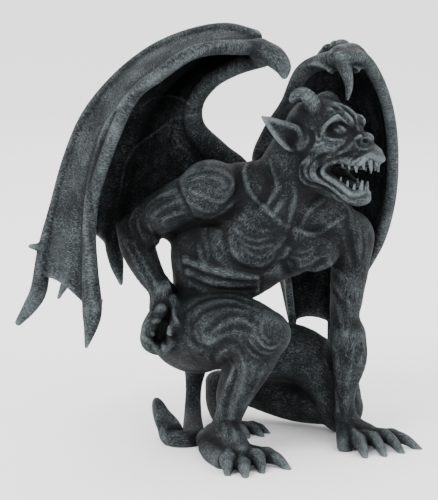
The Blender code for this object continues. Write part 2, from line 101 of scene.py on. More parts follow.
def rope(run, band=3.0):
    """Field of a round tapered form along rows of x, y, z and radius, and where it lies."""
    reach = run[:, 3].max() + band
    part = window(run[:, :3].min(0) - reach, run[:, :3].max(0) + reach)[0]
    field = np.full([p.stop - p.start for p in part], FAR, np.float32)
    for a, b in zip(run, run[1:]):
        reach = max(a[3], b[3]) + band
        near, (x, y, z) = window(np.minimum(a[:3], b[:3]) - reach, np.maximum(a[:3], b[:3]) + reach)
        inner = tuple(slice(n.start - p.start, n.stop - p.start) for n, p in zip(near, part))
        along = b[:3] - a[:3]
        x, y, z = x - a[0], y - a[1], z - a[2]
        t = np.clip((x * along[0] + y * along[1] + z * along[2]) / max(along @ along, 1e-9), 0, 1)
        gap = np.sqrt((x - t * along[0]) ** 2 + (y - t * along[1]) ** 2 + (z - t * along[2]) ** 2)
        gap -= a[3] + t * (b[3] - a[3])
        field[inner] = np.minimum(field[inner], gap)
    return part, field


def melt(shape, soft):
    """Add a form to the clay; soft is the width of the seam that blends into it."""
    part, field = shape
    here = clay[part]
    blend = np.maximum(soft - np.abs(here - field), 0)
    clay[part] = np.minimum(here, field) - blend * blend / (4 * soft)


def cut(shape, soft):
    """Take a form out of the clay."""
    part, field = shape
    here = clay[part]
    blend = np.maximum(soft - np.abs(here + field), 0)
    clay[part] = np.maximum(here, -field) + blend * blend / (4 * soft)


LIMB_STEPS = 5
THINNEST = 0.15


def limb(*joints, soft=1.4):
    """Melt a round tapered form through joints of x, y, z and radius into the clay."""
    run = smooth_run(joints, LIMB_STEPS * (len(joints) - 1))
    run[:, 3] = np.maximum(run[:, 3], THINNEST)
    melt(rope(run), soft)
    grain_runs.append((run, True))


def ellipsoid(centre, radii, turn=None):
    """Field of a stretched ball; the rows of turn are its own axes."""
    turn = np.eye(3) if turn is None else turn
    reach = max(radii) + 2.5
    part, (x, y, z) = window(np.array(centre) - reach, np.array(centre) + reach)
    x, y, z = x - centre[0], y - centre[1], z - centre[2]
    near = far = 0
    for axis, radius in zip(turn, radii):
        share = (x * axis[0] + y * axis[1] + z * axis[2]) / radius
        near = near + share ** 2
        far = far + (share / radius) ** 2
    near, far = np.sqrt(near), np.sqrt(far)
    return part, (near * (near - 1) / np.maximum(far, 1e-6)).astype(np.float32)


def ball(centre, radii, turn=None, soft=1.4):
    """Melt a stretched ball into the clay."""
    melt(ellipsoid(centre, radii, turn), soft)


def muscle(start, end, width, depth, outward, soft=1.4):
    """Spindle between two places, its flat side turned outward."""
    start, end = np.array(start, float), np.array(end, float)
    along = (end - start) / np.linalg.norm(end - start)
    across = np.cross(along, outward)
    across /= np.linalg.norm(across)
    turn = np.array((across, np.cross(across, along), along))
    ball((start + end) / 2, (width, depth, np.linalg.norm(end - start) / 2), turn, soft)
    middle = (start + end) / 2
    grain_runs.append((np.array([(*start, 0.3), (*middle, depth), (*end, 0.3)]), True))


def feel(spots, field=clay):
    """Value of the clay, or of another grid like it, at places between the cells."""
    place = np.clip((spots - CLAY_LOW) / CELL, 0, cell_counts - 1.001)
    corner = place.astype(int)
    share = place - corner
    total = 0
    for dx in (0, 1):
        for dy in (0, 1):
            for dz in (0, 1):
                weight = (np.abs(1 - dx - share[:, 0]) * np.abs(1 - dy - share[:, 1])
                          * np.abs(1 - dz - share[:, 2]))
                total = total + weight * field[corner[:, 0] + dx, corner[:, 1] + dy, corner[:, 2] + dz]
    return total


def facing(spots, step=0.5):
    """Unit vectors away from the surface."""
    slope = np.stack([feel(spots + step * axis) - feel(spots - step * axis) for axis in np.eye(3)], 1)
    return slope / np.maximum(np.linalg.norm(slope, axis=1, keepdims=True), 1e-6)


TRACE_STEPS = 64
TRACE_NEAR = 0.15
TRACE_BREAK = 1.9


def traced(pixels):
    """Runs of places on the clay behind a line of photo pixels, with the way the clay faces."""
    pixels = np.array(pixels, float)
    length = np.linalg.norm(np.diff(pixels, axis=0), axis=1).sum()
    line = smooth_run(pixels, max(4, int(length / 1.3)))
    rays = (SIGHT + (line[:, :1] - PHOTO_MIDDLE[0]) / PHOTO_FOCUS * SIGHT_RIGHT
            + (PHOTO_MIDDLE[1] - line[:, 1:]) / PHOTO_FOCUS * SIGHT_UP)
    rays /= np.linalg.norm(rays, axis=1, keepdims=True)
    spots = EYE + rays * (CAMERA_REACH - 48)
    for _ in range(TRACE_STEPS):
        spots = spots + rays * np.clip(0.85 * feel(spots), -0.5, 2.4)[:, None]
    found = np.abs(feel(spots)) < TRACE_NEAR
    runs, open_run = [], []
    for index in range(len(spots)):
        broken = open_run and np.linalg.norm(spots[index] - spots[open_run[-1]]) > TRACE_BREAK
        if (broken or not found[index]) and open_run:
            runs.append(open_run)
            open_run = []
        if found[index]:
            open_run.append(index)
    runs.append(open_run)
    return [(spots[run], facing(spots[run])) for run in runs if len(run) > 2]


def draw(lines, radius, rise, soft=0.5, both_sides=False):
    """Raise lines of photo pixels on the clay by rise, or cut them in where it is below 0."""
    drawn = [piece for line in lines for piece in traced(line)]
    if both_sides:
        drawn += [(mirrored(spots), mirrored(faces, 0)) for spots, faces in drawn]
    for spots, faces in drawn:
        swell = np.minimum(1, 1.35 * np.sin(np.pi * np.linspace(0.04, 0.96, len(spots))))[:, None]
        middle = spots + faces * (rise * swell + (radius if rise < 0 else -radius))
        run = np.hstack((middle, np.full((len(middle), 1), radius)))
        (melt if rise > 0 else cut)(rope(run, 1.3), soft)


# Torso: rib cage and belly lean over the raised knee, with flat chest muscles, a sharp
# collar bone and rib edges; the back keeps its spine and the muscles that carry the wings.
RIB_DROP = 2.6

limb((-3, 30, 24, 8.6), (-2.8, 27.5, 31, 8.4), (0, 24.5, 39, 9), (6.5, 22.5, 47, 11.6), (11, 21, 55, 9.5))
ball((9.4, 22, 48), (15.6, 10, 10.4))
ball((-3.8, 25, 43), (7, 7.5, 12))
muscle((15.4, 12.6, 46.6), (-2, 15, 49.5), 5.4, 3.2, (0.1, -1, 0.1), 0.9)
muscle((15.8, 14, 45), (27, 20.5, 46), 4.8, 2.8, (0.5, -1, 0.1), 0.9)
muscle((2, 29, 60), (-3, 31, 44), 7, 5, (0, 1, 0))
muscle((20, 30, 56), (15, 32, 42), 6, 5, (0, 1, 0))
limb((13, 28, 60, 4.5), (7, 31, 48, 5), (0, 33, 34, 5), (-4, 34, 24, 5))
limb((-1, 17, 59.5, 4.8), (8, 18, 59.5, 5.6), (16, 18, 58, 6), (24, 20, 53, 4.8), (29.5, 23, 48, 4.4))
for rib in range(3):
    drop = RIB_DROP * rib
    limb((-7 + 0.8 * rib, 18.5, 43 - drop, 1.1), (0, 13.4 + 0.5 * rib, 41.4 - drop, 1.2),
         (8, 12.8 + 0.8 * rib, 40.4 - 0.6 * drop, 1), soft=0.8)

SPINE = ((13.2, 32, 60, 1.1), (9, 35.2, 52, 1.2), (5.6, 36.4, 45, 1.2), (0, 37.8, 34, 1.2),
         (-3.4, 38.8, 26, 1))
SPINE_STEPS = 13
for knob in smooth_run(SPINE, SPINE_STEPS):
    ball(knob[:3], (knob[3], knob[3], 1.15 * knob[3]), soft=0.7)

# Head: turned 60 degrees towards the figure's left and dipped to that side, its mouth open wide
# under a snub muzzle. Its places are counted forward, to its left and up from the skull's middle.
HEAD_TURN = math.radians(60)
HEAD_DIP = 0.16
SKULL = np.array((22.0, 9.0, 74.0))
HEAD_AXES = np.array(((math.sin(HEAD_TURN), -math.cos(HEAD_TURN), 0),
                      (math.cos(HEAD_TURN), math.sin(HEAD_TURN), 0), (0, 0, 1)))
HEAD_FRAME = HEAD_AXES - ((0, 0, 0), (0, 0, HEAD_DIP), (0, 0, 0))
HEAD_COUNTS = np.linalg.inv(HEAD_FRAME)


def mirrored(spots, about=1):
    """Places, or directions where about is 0, on the other side of the head."""
    own = (spots - about * SKULL) @ HEAD_COUNTS
    return about * SKULL + (own * (1, -1, 1)) @ HEAD_FRAME


def head_places(joints, side):
    """Figure places of joints counted from the skull's middle; side -1 is the far side."""
    return [(*(SKULL + np.array((f, side * s, u)) @ HEAD_FRAME), *rest) for f, s, u, *rest in joints]


def head_limb(*joints, soft=0.7):
    """Limb of the head; places beside its middle are made on both sides."""
    for side in ((-1, 1) if any(joint[1] for joint in joints) else (1,)):
        limb(*head_places(joints, side), soft=soft)


def head_ball(forward, left, up, radii, soft=0.7):
    """Ball of the head, on both sides where it lies beside the middle."""
    for side in ((-1, 1) if left else (1,)):
        ball(head_places([(forward, left, up)], side)[0], radii, HEAD_AXES, soft)


def head_cut(forward, left, up, radii, soft=0.5):
    """Hollow of the head, on both sides where it lies beside the middle."""
    for side in ((-1, 1) if left else (1,)):
        cut(ellipsoid(head_places([(forward, left, up)], side)[0], radii, HEAD_AXES), soft)


limb((12, 20, 55, 7.5), (14.5, 17.5, 61, 7), (18, 13, 68, 6.6), (20.5, 10, 72, 6.3))
head_ball(-0.6, 0, -0.2, (7.2, 6.3, 6.4), 1.4)
head_ball(3.8, 0, 0.6, (4.8, 4.9, 4.1), 1.6)
head_ball(3.6, 0, -3.4, (6.6, 5.6, 5), 1.4)
# Cheek and jaw muscle, then the muzzle with its lifted nose
head_ball(1.8, 4, -6.6, (3, 1.9, 4.2), 1.8)
head_limb((4.4, 0, -3.8, 4.8), (8.2, 0, -4.6, 3.8), (11, 0, -5, 2.5), (12.9, 0, -5.3, 1.7), soft=1)
head_limb((6.4, 0, 0.4, 1.6), (8.4, 0, -1.5, 1.2), (10.2, 0, -2, 1.3), soft=0.7)
head_ball(10.9, 0, -2, (1.5, 1.5, 1.3), 0.4)
head_ball(10.6, 1.5, -2.7, (1.3, 1, 1), 0.3)
head_limb((8.9, 2.1, -3.6, 0.5), (9.4, 2.5, -2.4, 0.6), (10.4, 2.3, -1.7, 0.5), soft=0.3)
head_limb((3, 5.2, -1.8, 0.6), (3.7, 5.1, -0.5, 0.7), (4.9, 4.8, 0.8, 0.8), (6.2, 4.1, 1.8, 0.85),
          (7.2, 3.1, 1.7, 0.9), (8, 2.1, 0.8, 0.9), (8.7, 1.1, -0.4, 0.8), soft=0.7)
head_limb((1.6, 4.5, -4.2, 1.2), (4.6, 4.5, -4.6, 1.5), (7.4, 3.6, -4, 1), soft=1.8)
head_cut(6.4, 5.2, -0.6, (2.3, 1.7, 1.4), 0.8)
head_ball(6, 3.5, -0.7, (1.9, 1.3, 1.3), 0.3)
head_cut(11.5, 1.85, -2.6, (0.7, 0.7, 0.5), 0.3)
# Lips, lower jaw, mouth floor with its tongue, and the chin
head_limb((3.2, 4.7, -9.2, 0.7), (4.4, 4.8, -7.8, 0.7), (7, 4.5, -6.9, 0.8), (9, 4, -7.3, 0.9),
          (10.8, 3.3, -7, 0.9), (12, 2.5, -5.9, 0.85), (13, 1.6, -5.6, 0.95), (14.2, 0.5, -6.2, 0.8),
          soft=0.5)
head_limb((0.6, 4.6, -8.2, 2.4), (0.7, 4.7, -10, 2.1), (2.6, 4.8, -10.8, 1.7), (4.9, 4.5, -11.9, 1.4),
          (6.8, 3.9, -13.5, 1.3), (8.4, 2.9, -14.8, 1.3), (10, 1.3, -15, 1.2),
          (10.6, 0.1, -14.8, 1.1), soft=0.9)
head_limb((3.4, 4.8, -9, 0.6), (3.2, 4.9, -10, 0.7), (4.6, 4.8, -11, 0.7), (6.8, 4.2, -12.4, 0.7),
          (8.6, 3.1, -13.7, 0.65), (10.3, 1.7, -13.8, 0.65), (11, 0.1, -13.6, 0.65), soft=0.35)
head_limb((-1, 0, -10, 4), (3.6, 0, -13, 2.6), (8, 0, -14.8, 1.8), soft=0.9)
head_ball(9, 0, -15.4, (1.8, 1.9, 1.3))
head_limb((1, 0, -10.6, 1.5), (5.4, 0, -12.2, 1.5), (8.8, 0, -12.9, 0.9), soft=0.3)
# Horns, bent back and ringed with low swellings
HORN = ((0.4, 4, 3.2, 1.8), (0.1, 5, 5, 1.7), (-0.9, 5.5, 6.2, 1.5), (-2, 5.7, 6.4, 1.35),
        (-3, 5.8, 6, 1.2), (-3.7, 5.9, 5.3, 1))
HORN_RINGS = 13
RING_PLACES = 13
head_limb(*HORN, soft=0.5)
for side in (-1, 1):
    middle = smooth_run(head_places(HORN, side), HORN_RINGS)
    for here, after in zip(middle[2:], middle[3:]):
        along = (after - here)[:3]
        across = np.cross(along, (0.3, 1, 0.2))
        across /= np.linalg.norm(across)
        up = np.cross(along, across)
        up /= np.linalg.norm(up)
        turns = np.linspace(0, 2 * math.pi, RING_PLACES)[:, None]
        ring = here[:3] + 0.93 * here[3] * (np.cos(turns) * across + np.sin(turns) * up)
        melt(rope(np.hstack((ring, np.full((RING_PLACES, 1), 0.26))), 1), 0.15)
# Ears: a thick rim round a thin leaf that is hollow towards the side
EAR_TOP = ((-1.9, 5.6, -4.9), (-1.3, 6.1, -3.1), (-1.9, 7, -1.2), (-3.1, 7.9, -0.5), (-5.1, 9.3, 0.1),
           (-8, 11.6, 0.8))
EAR_LOW = ((-3, 5.4, -5.4), (-4.2, 6.6, -5.6), (-5.2, 7.9, -4.7), (-6.2, 9.3, -3.1),
           (-7.1, 10.7, -1.1), (-8, 11.6, 0.8))
EAR_STEPS = 16


def skin_panel(rows, wall, soft=0.5):
    """Melt a skin of even thickness through a grid of places into the clay."""
    rows = np.array(rows)
    across = np.gradient(rows, axis=0)
    along = np.gradient(rows, axis=1)
    out = np.cross(across, along)
    out /= np.maximum(np.linalg.norm(out, axis=2, keepdims=True), 1e-6)
    high, wide = rows.shape[:2]
    points = np.concatenate((rows + out * wall / 2, rows - out * wall / 2)).reshape(-1, 3)
    index = np.arange(high * wide).reshape(high, wide)
    face = np.stack((index[:-1, :-1], index[:-1, 1:], index[1:, 1:], index[1:, :-1]), -1).reshape(-1, 4)
    rim = np.concatenate((index[0, :-1], index[:-1, -1], index[-1, :0:-1], index[:0:-1, 0]))
    after = np.roll(rim, -1)
    back = high * wide
    side = np.stack((after, rim, rim + back, after + back), 1)
    quads = np.concatenate((face, face[:, ::-1] + back, side)).astype(np.uint32)
    level = openvdb.FloatGrid.createLevelSetFromPolygons(
        ((points - CLAY_LOW) / CELL).astype(np.float32), quads=quads, halfWidth=2.4 / CELL)
    part = window(points.min(0) - 2, points.max(0) + 2)[0]
    field = np.zeros([p.stop - p.start for p in part], np.float32)
    level.copyToArray(field, ijk=tuple(p.start for p in part))
    melt((part, field * CELL), soft)


head_limb((0, 4.4, -3.4, 1.7), (-2, 5, -4.2, 1.4), soft=1.6)
for side in (-1, 1):
    upper, lower = (smooth_run(head_places(edge, side), EAR_STEPS) for edge in (EAR_TOP, EAR_LOW))
    hollow = (np.array((-0.5, -0.8 * side, 0))) @ HEAD_FRAME
    rows = [upper * (1 - share) + lower * share + 2.6 * math.sin(math.pi * share)
            * hollow * np.linspace(1, 0, EAR_STEPS + 1)[:, None] ** 0.7 for share in np.linspace(0, 1, 9)]
    skin_panel(rows, 1.2, 0.5)
    for edge, thick in ((upper, 1.05), (lower, 0.5)):
        width = np.linspace(thick, 0.3, EAR_STEPS + 1)[:, None] ** 1.1
        melt(rope(np.hstack((edge, width))), 0.4)

# Right arm: drawn back at the elbow, with its fist curled against the hip.
ball((-1.8, 15, 59.4), (6.7, 6.4, 6.4), soft=0.9)
limb((-2, 16, 59, 6), (-8, 20, 56, 5), (-14, 25.5, 52, 4.4), (-19, 29.5, 48.5, 3.7))
muscle((-5, 16, 57.6), (-16, 24, 50), 4.2, 3.8, (0, -1, -0.4), 0.9)
limb((-13, 25.5, 50.5, 3), (-9, 27, 47.5, 2.6))
limb((-15.6, 26, 48.5, 3), (-14.6, 25, 46.6, 1.5), soft=0.8)
limb((-19.3, 29.5, 48.5, 3.6), (-18.2, 27, 44.4, 3.9), (-15.7, 23.5, 39.6, 3.2), (-12.8, 20.8, 35.6, 2.4))
ball((-20.3, 31, 48.5), (2.4, 2.4, 2.6), soft=0.8)
limb((-12.4, 20.8, 35.6, 2.4), (-12.6, 19.8, 32.6, 2.9), (-12.4, 20.4, 29.4, 2.9))
FIST_STEP = 2.15
for digit in range(4):
    # Fingers side by side into the depth, each curled round to the palm
    away = FIST_STEP * digit
    limb((-12.6, 15 + away, 32.4, 1.4), (-14.6, 14.6 + away, 29.6, 1.5), (-15.9, 14.6 + away, 26.7, 1.5),
         (-15.3, 14.8 + away, 24.4, 1.45), (-12.4, 15 + away, 23.4, 1.4), (-10.8, 15.2 + away, 24.6, 1.3),
         (-10.5, 15.8 + away, 26.8, 1.1), soft=0.35)
limb((-10.2, 18.6, 33.6, 1.7), (-9.2, 15.8, 31.8, 1.5), (-9.6, 13.8, 29.6, 1.3),
     (-10.6, 13, 27.8, 0.8), soft=0.4)
ball((-12.7, 18.8, 28), (2.6, 2.8, 4), soft=0.5)

# Left arm: straight down to a hand that leans on the floor with spread fingers.
ball((29.2, 24, 47), (5.2, 5.6, 6.4), soft=0.9)
limb((29.4, 24, 47, 4.9), (29.3, 24.6, 40, 4.3), (28.3, 25, 30, 3.4), (28.7, 25, 24, 3.5))
muscle((29.4, 22.5, 42), (28.4, 23, 27), 3.4, 3, (0, -1, 0), 0.8)
limb((29.2, 25, 24.5, 3.9), (29.5, 25, 19, 3.9), (28.7, 25, 12, 2.4), (28.4, 25, 6, 2.1))
limb((28.8, 25, 6, 2.1), (30.4, 22.4, 3.4, 2.9), (33.2, 19.6, 3, 2.4))


def finger(root, knuckle, tip, thickness):
    """Finger or toe that arches over its knuckle down to a claw on the floor."""
    root, knuckle, tip = np.array(root), np.array(knuckle), np.array(tip)
    last = knuckle + (tip - knuckle) * 0.5 + (0, 0, 0.7)
    limb((*root, thickness * 1.05), (*knuckle, thickness), (*last, thickness * 0.82), (*tip, 0.6), soft=0.5)
    ball(knuckle + (0, 0, 0.2), (thickness * 1.12, thickness * 1.12, thickness * 1.05), soft=0.5)


limb((28.6, 24, 4.4, 2.2), (28.6, 19, 2.2, 2.3), (28, 13.6, 1.8, 1.8), soft=0.8)
finger((29.8, 19, 2.8), (31, 12.6, 3), (32.2, 7.4, 0.4), 1.55)
finger((31.4, 19.4, 2.8), (34.2, 13.8, 3.3), (36.6, 8.6, 0.4), 1.45)
finger((32.6, 19.8, 3), (36.6, 15.4, 3.6), (40.8, 11.4, 0.4), 1.5)
finger((33.2, 21, 2.8), (38.6, 17.8, 3), (44.9, 14.8, 0.4), 1.45)
finger((33, 22.6, 2.4), (37.6, 21.4, 2.3), (41.8, 20, 0.4), 1.2)

# Right leg: the knee raised in front, the foot flat on thick clawed toes.
ball((-5.4, 30, 22.6), (7.8, 9, 7.8))
limb((-6.8, 26, 25.2, 8.8), (-2, 18.5, 27.5, 8.8), (4.8, 9.5, 29.5, 7), (9.8, 3.4, 30, 5))
muscle((-8, 20, 31), (7, 4.6, 33.2), 5.4, 4, (-0.4, -0.4, 1), 0.9)
muscle((-7, 22, 21), (8, 8, 26), 4.6, 4.4, (0.3, 0.6, -1), 0.9)
ball((11.2, 2, 29.9), (4.2, 4, 4.4), soft=0.9)
limb((10.5, 3.4, 29, 4.5), (7.5, 6.5, 22, 4.2), (4, 9.2, 14.5, 3.4), (1.5, 11.6, 7.5, 2.9))
muscle((7.6, 9.5, 28), (1, 13.5, 9), 3.8, 3.8, (-0.5, 0.8, 0), 0.9)
limb((9.6, 1.4, 27.5, 1.5), (6, 5.2, 18, 1.4), (2.6, 9.4, 8, 1.3), soft=0.8)
limb((-2.4, 15.6, 2.6, 2.7), (0.2, 13, 4.6, 3.1), (3, 7.5, 4.6, 3), (5, 1, 2.8, 2.6))
limb((-2.6, 12, 1.8, 2), (-1.2, 5.6, 1.9, 2.2), (0.8, -0.2, 1.8, 1.9), soft=1)
ball((2, 6.4, 1.9), (4, 7.4, 2.5), soft=1)
finger((2.6, 1.4, 2.8), (2, -3, 2.8), (1.9, -7, 0.4), 1.7)
finger((4.8, 0.8, 2.6), (5.2, -4.4, 2.2), (5.7, -8.6, 0.4), 1.55)
finger((6, 2, 3), (8, -1, 3), (9.4, -5, 0.5), 1.75)
finger((6.4, 4, 3), (10.4, 1.6, 2.8), (15.2, -2, 0.5), 1.65)

# Left leg: folded under the body, the knee low behind the left hand, the foot up on its toes.
limb((2, 31, 23.6, 7.6), (10, 33, 20, 7), (19, 33.4, 18, 6.4), (25.6, 32, 12.4, 5.8), (28, 31, 6.6, 5))
ball((28, 30.6, 5.4), (4.4, 4.2, 5))
limb((26.5, 33, 6, 4.4), (18, 37.6, 6.6, 5.2), (9, 42.6, 7.6, 4.4), (1, 46.5, 8.6, 2.7))
limb((-0.8, 47, 8.6, 2.4), (-0.6, 42, 4.8, 2.4), (0.8, 36, 2.6, 2.2), (3, 31.6, 2, 1.9))
finger((3.2, 30.8, 1.4), (5, 27.6, 1.7), (6.6, 24.2, 0.4), 1.2)
finger((3.6, 32, 1.5), (7.2, 29, 1.8), (10, 26, 0.4), 1.25)
finger((3.8, 33, 1.5), (7.6, 31, 1.6), (11.4, 28.8, 0.4), 1.2)

# Tail: down from the rump, forward along the floor and up into a spade.
limb((-5, 36, 18, 3.4), (-5.8, 37.5, 10, 1.9), (-6, 33, 4.4, 2), (-5.8, 25, 2.4, 2.4), (-5.6, 19.4, 2, 2.2),
     (-8.6, 17.8, 2, 2.2), (-11.4, 19.6, 2.4, 1.9), (-12.2, 20.6, 4.4, 1.3), soft=0.8)
muscle((-10.6, 20.2, 0.4), (-14.3, 21.8, 10.9), 2, 1, (0.2, -1, 0), 0.5)
muscle((-8, 19.4, 2), (-13.4, 21.4, 8.4), 1.7, 0.9, (0.2, -1, 0), 0.5)

# Wings: five clawed fingers each, from the wrist at the top to the tips, with a skin of even
# thickness between them that is cut back in scallops at its free edge.
RIGHT_WING = (
    ((8.9, 8, 91.1, 1.7), (-4, 6, 90.6, 1.5), (-12.7, 7, 85.2, 1.4), (-19.3, 9, 79, 1.4),
     (-26.3, 12, 61.5, 1.4), (-28.1, 12, 51.5, 1.5), (-28, 11, 42, 1.8), (-27.6, 10, 34, 2.2),
     (-27.9, 9.6, 30, 1.6), (-28.9, 9, 25.4, 0.4)),
    ((7.6, 12, 92.9, 1.7), (1.5, 14, 94.5, 1.4), (-6.3, 15, 93.1, 1.4), (-14.5, 17, 89.5, 1.3),
     (-22.4, 19, 83.1, 1.3), (-29.1, 20, 74.7, 1.3), (-33.3, 21, 64.8, 1.3), (-36.2, 21, 54.6, 1.3),
     (-38.6, 20, 45, 1.6), (-39.8, 19, 36.5, 1.9), (-41.8, 18.5, 32.5, 1.6), (-44.4, 18, 29, 0.8)),
    ((7, 20, 90.8, 1.6), (0, 24, 92, 1.4), (-8.5, 28, 89.5, 1.4), (-17.5, 32, 83.5, 1.3),
     (-24, 35, 74, 1.2), (-28.5, 36, 63, 1.2), (-31, 36, 51.5, 1.2), (-33.4, 34, 39, 1.6),
     (-36.4, 31, 32, 0.4)),
    ((7, 22, 88.6, 1.6), (1.5, 28, 89, 1.4), (-5.9, 34, 84, 1.3), (-13, 38, 76.5, 1.2),
     (-18.4, 41, 67, 1.2), (-21.5, 42, 55, 1.3), (-24.3, 40, 45, 1.8), (-23.6, 39, 39, 1.7),
     (-22.5, 38, 34, 0.5)),
    ((9.4, 12, 88.2, 1.8), (3.8, 16, 86.2, 1.9), (-1.6, 21, 82.7, 1.9), (-5.3, 25, 77.3, 2),
     (-5.1, 28, 71.1, 2.3), (0, 28, 65.3, 2.8), (4.4, 28, 60.4, 3.1), (1, 31, 53, 2)),
)
LEFT_WING = (
    ((26.5, 13, 88.2, 1.5), (31, 15, 88, 1.5), (35, 20, 82.2, 1.4), (37.7, 24, 74.2, 1.3),
     (38.8, 27, 65, 1.3), (38.5, 29, 55, 1.3), (36.1, 30, 45.5, 1.4), (31.4, 30, 36.5, 1.4),
     (27.5, 29, 24, 0.5)),
    ((26.5, 18, 89.3, 1.5), (30.6, 26, 88.6, 1.4), (35.2, 33, 81.4, 1.3), (37.8, 37, 72.8, 1.3),
     (38.7, 39, 63.5, 1.3), (38.7, 41, 51.5, 1.3), (34.8, 42, 40, 1.3), (29.9, 42, 28, 1.3),
     (28.4, 40, 20, 0.5)),
    ((25.5, 22, 89.9, 1.5), (28.5, 34, 88.4, 1.4), (30.5, 44, 78, 1.3), (31.5, 49, 66, 1.2),
     (31, 52, 51, 1.2), (29, 52, 37, 1.2), (27, 50, 24.5, 1.2), (26, 48, 16, 0.5)),
    ((24, 24, 89, 1.5), (22.5, 34, 85, 1.4), (21.5, 44, 76, 1.3), (20, 50, 63.5, 1.2), (17.6, 53, 51, 1.2),
     (14.8, 52, 38.5, 1.3), (16.4, 50, 28.5, 1.3), (18, 47, 18.5, 0.5)),
    ((25.5, 18, 88.2, 1.8), (18.8, 25, 84.4, 1.8), (15.5, 30, 76.2, 1.9), (11.8, 32, 69.7, 2.1),
     (10.2, 31, 63, 2.8), (14, 31, 57, 2.4), (15, 33, 50, 2)),
)
WING_WALL = 0.0042 / UNIT
WING_STEPS = 44
PANEL_STEPS = 12
SCALLOP = 0.025
BILLOW = 0.5


def wing(fingers, claws, hook):
    """One wing; claws are the shares of its fingers that stand free of the skin, and hook
    is the run of its hooked thumb, from the wrist."""
    runs = [smooth_run(joints, WING_STEPS) for joints in fingers]
    for run in runs:
        melt(rope(run), 0.7)
        grain_runs.append((run, False))
    middle = np.mean([run[WING_STEPS // 2, :3] for run in runs], axis=0)
    for number, (one, other) in enumerate(zip(runs, runs[1:])):
        rows = []
        for share in np.linspace(0, 1, PANEL_STEPS + 1):
            bow = math.sin(math.pi * share)
            end = 1 - claws[number] * (1 - share) - claws[number + 1] * share - SCALLOP * bow
            place = end * np.arange(WING_STEPS + 1)
            low = np.minimum(place.astype(int), WING_STEPS - 1)
            rest = (place - low)[:, None]
            first = one[low] * (1 - rest) + one[low + 1] * rest
            second = other[low] * (1 - rest) + other[low + 1] * rest
            spot = (first * (1 - share) + second * share)[:, :3]
            outward = spot - middle
            outward /= np.linalg.norm(outward, axis=1, keepdims=True)
            fade = np.minimum(1, 2 * np.linspace(0, 1, WING_STEPS + 1))[:, None]
            rows.append(spot + outward * BILLOW * bow * fade)
        skin_panel(rows, WING_WALL)
    wrist, knuckle = np.array(fingers[0][0][:3]), np.array(fingers[4][0][:3])
    ball((wrist + knuckle) / 2, (2.6, 2.8, 2.6))
    limb(*[(wrist[0] + x, wrist[1] + y, wrist[2] + z, radius) for x, y, z, radius in hook], soft=0.6)


RIGHT_HOOK = ((0, 0, -0.6, 2.4), (2.8, -2, -1.9, 2.4), (4.6, -3.4, -3.8, 1.8), (4.9, -4, -5.6, 0.9))
LEFT_HOOK = ((0.4, 0, -1.4, 1.7), (1.2, -0.6, -4, 1.2), (1.5, -0.6, -6.4, 0.8), (1.2, -0.2, -8.8, 0.35))
wing(RIGHT_WING, (0.215, 0.215, 0.2, 0.19, 0), RIGHT_HOOK)
wing(LEFT_WING, (0.13, 0.13, 0.11, 0.06, 0), LEFT_HOOK)
# Hood: skin that hangs over the left wing's wrist, its edge cut in three scallops
HOOD_TOP = ((18.4, 25, 85.4), (22.4, 20, 88.4), (26.4, 15.6, 89.2), (30.4, 15.6, 88.4), (34, 18.6, 84.6))
HOOD_EDGE = ((18.4, 24.6, 84), (22.4, 17.6, 84.6), (27.6, 14, 84.8), (31, 15, 84.8), (34.2, 18.4, 83.4))
HOOD_STEPS = 36
top, edge = (smooth_run(run, HOOD_STEPS) for run in (HOOD_TOP, HOOD_EDGE))
arches = np.abs(np.sin(np.linspace(0, 3 * math.pi, HOOD_STEPS + 1)))[:, None] ** 0.7 * (0, 0, 1.4)
skin_panel([top * (1 - share) + (edge + arches) * share for share in np.linspace(0, 1, 7)], WING_WALL)
for spur in (((-38, 20, 45.4, 1.4), (-41.6, 19, 46, 0.5)),
             ((-27.4, 10, 34.6, 1.4), (-25.4, 9.4, 35.6, 0.3)),
             ((-33.4, 34, 39, 1), (-35.6, 33, 40.4, 0.3)),
             ((-24.4, 40, 45, 1), (-26.6, 39.4, 46.4, 0.3))):
    limb(*spur, soft=0.5)

# Carving of the head, from the photo's pixels: brow, lids, wrinkles, folds round the mouth,
# lips and neck cords. What lies on the near side is repeated on the far one.
BROW_LINES = (
    ((321, 133), (324, 127), (329, 121.5), (336, 116), (341, 116.5), (346, 121), (350, 126)),
    ((328, 118), (336, 112.5), (343, 114), (349, 119), (353, 126)),
)
FOREHEAD_LINES = (
    ((332, 103), (341, 109), (349, 117), (355, 124)),
    ((338, 101), (347, 108), (354, 115), (359, 124)),
    ((327, 108), (335, 110), (342, 112)),
    ((343, 101), (351, 108), (358, 114)),
)
LID_LINES = (
    ((322, 134), (326.5, 137.5), (333, 139.5), (342, 139.5)),
    ((315, 133), (317.5, 139), (323, 137.5)),
    ((314, 144), (319, 144), (325, 141)),
    ((329, 127.5), (335, 124), (341, 126.5), (345, 131)),
)
MUZZLE_LINES = (
    ((339, 163.5), (348, 157), (359, 151)),
    ((342.5, 165.5), (352, 158), (362, 153)),
    ((347, 167), (356, 160.5), (364, 156)),
    ((353, 168), (360, 163), (366, 158)),
    ((354, 140.5), (357, 147), (364, 149.5), (371, 147)),
)
CHEEK_LINES = (
    ((339, 157.5), (329, 159), (321, 163), (315.5, 168), (314.5, 174), (319.5, 179.5), (329, 185)),
    ((322, 158.5), (316.5, 161), (312, 167), (311.5, 174), (316, 180), (326, 184)),
    ((344, 150), (335, 155), (326, 157)),
    ((308, 157), (302.5, 163), (300.5, 171), (302, 179), (309, 184), (320, 187)),
)
LIP_LINES = (
    ((339, 161.5), (329, 163), (323, 169), (324.5, 175), (334, 181.5), (344, 189), (350, 193.5), (358, 194),
     (363, 192.5)),
    ((339.5, 164.5), (347, 167.5), (356, 166.5), (363, 160.5), (369, 155.5), (377, 158)),
)
